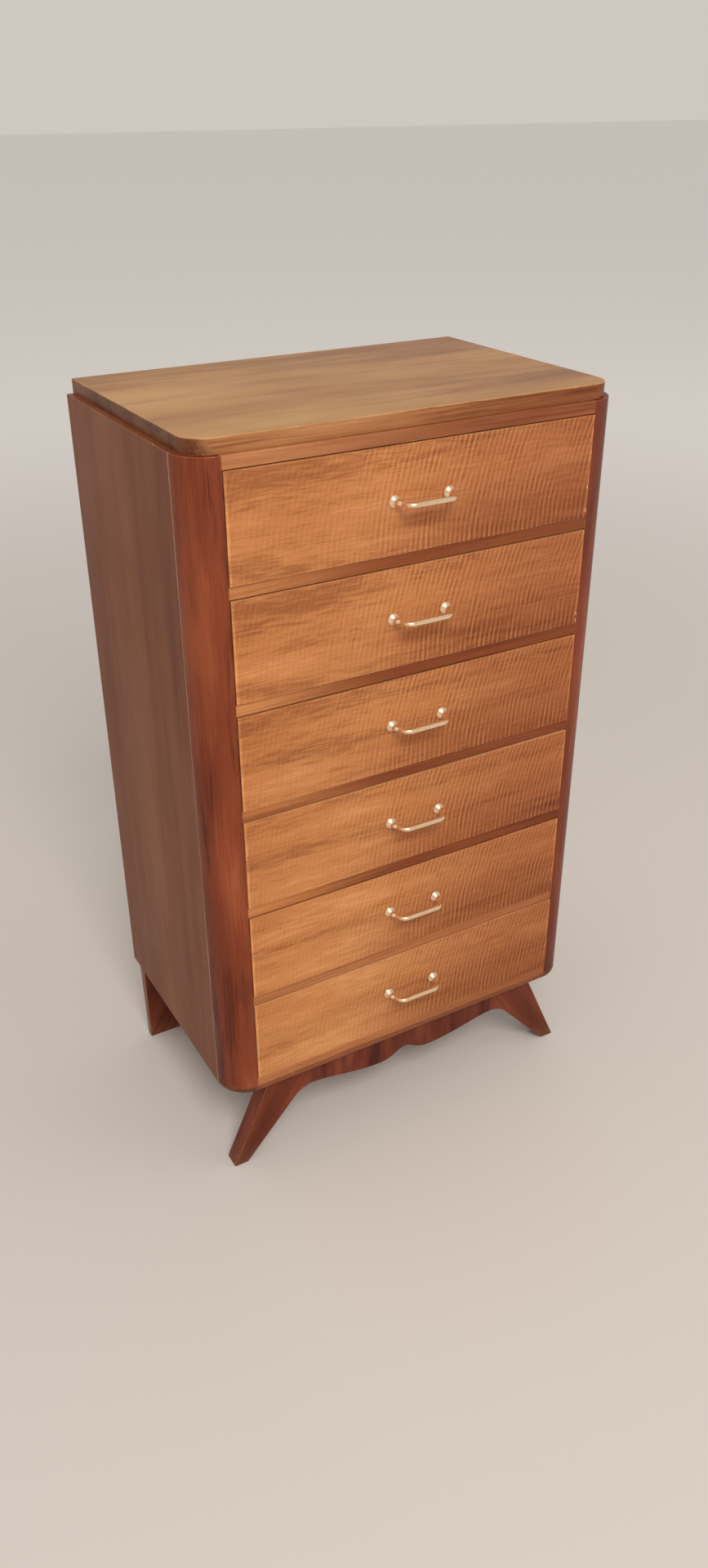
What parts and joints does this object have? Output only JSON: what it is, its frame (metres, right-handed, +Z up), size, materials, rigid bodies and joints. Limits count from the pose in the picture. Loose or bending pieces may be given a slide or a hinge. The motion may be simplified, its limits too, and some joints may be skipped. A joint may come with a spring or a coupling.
{
  "type": "chest of drawers",
  "caption": "Tall narrow walnut chest of drawers with rounded corner posts, a set-back top slab, bow handles and a splayed base with a shaped apron.",
  "frame": {"origin": "on the floor, under the centre of the overall box, handles included", "axes": "+X to the right, -Y out of the drawer fronts, +Z up"},
  "size_m": [0.7, 0.4862, 1.258],
  "materials": {
    "slab_walnut": "satin",
    "side_walnut": "satin",
    "post_walnut": "satin",
    "inlay_wood": "satin",
    "rail_walnut": "satin",
    "front_veneer": "satin",
    "base_walnut": "satin",
    "drawer_beech": "matt",
    "poplar": "matt",
    "plywood": "matt",
    "handle_brass": "polished",
    "steel": "satin"
  },
  "bodies": {
    "carcass": {"top_slab": "slab_walnut", "left_side_panel": "side_walnut", "right_side_panel": "side_walnut", "left_corner_post": "post_walnut", "right_corner_post": "post_walnut", "inlay_strips": "inlay_wood", "top_rail": "rail_walnut", "divider_rails": "rail_walnut", "bottom_rail": "rail_walnut", "subtop_board": "poplar", "bottom_board": "rail_walnut", "back_panel": "plywood", "front_left_leg": "base_walnut", "front_right_leg": "base_walnut", "front_apron": "base_walnut", "rear_left_leg": "base_walnut", "rear_right_leg": "base_walnut", "rear_rail": "poplar", "side_bearers": "poplar", "drawer_runners": "poplar", "drawer_guides": "poplar", "drawer_stops": "poplar", "frame_screws": "steel", "back_screws": "steel"},
    "drawer_1": {"drawer_1_front": "front_veneer", "drawer_1_sides": "drawer_beech", "drawer_1_back": "drawer_beech", "drawer_1_bottom": "plywood", "drawer_1_handle": "handle_brass", "drawer_1_screws": "steel"},
    "drawer_2": {"drawer_2_front": "front_veneer", "drawer_2_sides": "drawer_beech", "drawer_2_back": "drawer_beech", "drawer_2_bottom": "plywood", "drawer_2_handle": "handle_brass", "drawer_2_screws": "steel"},
    "drawer_3": {"drawer_3_front": "front_veneer", "drawer_3_sides": "drawer_beech", "drawer_3_back": "drawer_beech", "drawer_3_bottom": "plywood", "drawer_3_handle": "handle_brass", "drawer_3_screws": "steel"},
    "drawer_4": {"drawer_4_front": "front_veneer", "drawer_4_sides": "drawer_beech", "drawer_4_back": "drawer_beech", "drawer_4_bottom": "plywood", "drawer_4_handle": "handle_brass", "drawer_4_screws": "steel"},
    "drawer_5": {"drawer_5_front": "front_veneer", "drawer_5_sides": "drawer_beech", "drawer_5_back": "drawer_beech", "drawer_5_bottom": "plywood", "drawer_5_handle": "handle_brass", "drawer_5_screws": "steel"},
    "drawer_6": {"drawer_6_front": "front_veneer", "drawer_6_sides": "drawer_beech", "drawer_6_back": "drawer_beech", "drawer_6_bottom": "plywood", "drawer_6_handle": "handle_brass", "drawer_6_screws": "steel"}
  },
  "joints": [
    {"name": "drawer_1_slide", "type": "slide", "parent": "carcass", "child": "drawer_1", "axis": [0, -1, 0], "range_m": [0, 0.27]},
    {"name": "drawer_2_slide", "type": "slide", "parent": "carcass", "child": "drawer_2", "axis": [0, -1, 0], "range_m": [0, 0.27]},
    {"name": "drawer_3_slide", "type": "slide", "parent": "carcass", "child": "drawer_3", "axis": [0, -1, 0], "range_m": [0, 0.27]},
    {"name": "drawer_4_slide", "type": "slide", "parent": "carcass", "child": "drawer_4", "axis": [0, -1, 0], "range_m": [0, 0.27]},
    {"name": "drawer_5_slide", "type": "slide", "parent": "carcass", "child": "drawer_5", "axis": [0, -1, 0], "range_m": [0, 0.27]},
    {"name": "drawer_6_slide", "type": "slide", "parent": "carcass", "child": "drawer_6", "axis": [0, -1, 0], "range_m": [0, 0.27]}
  ]
}
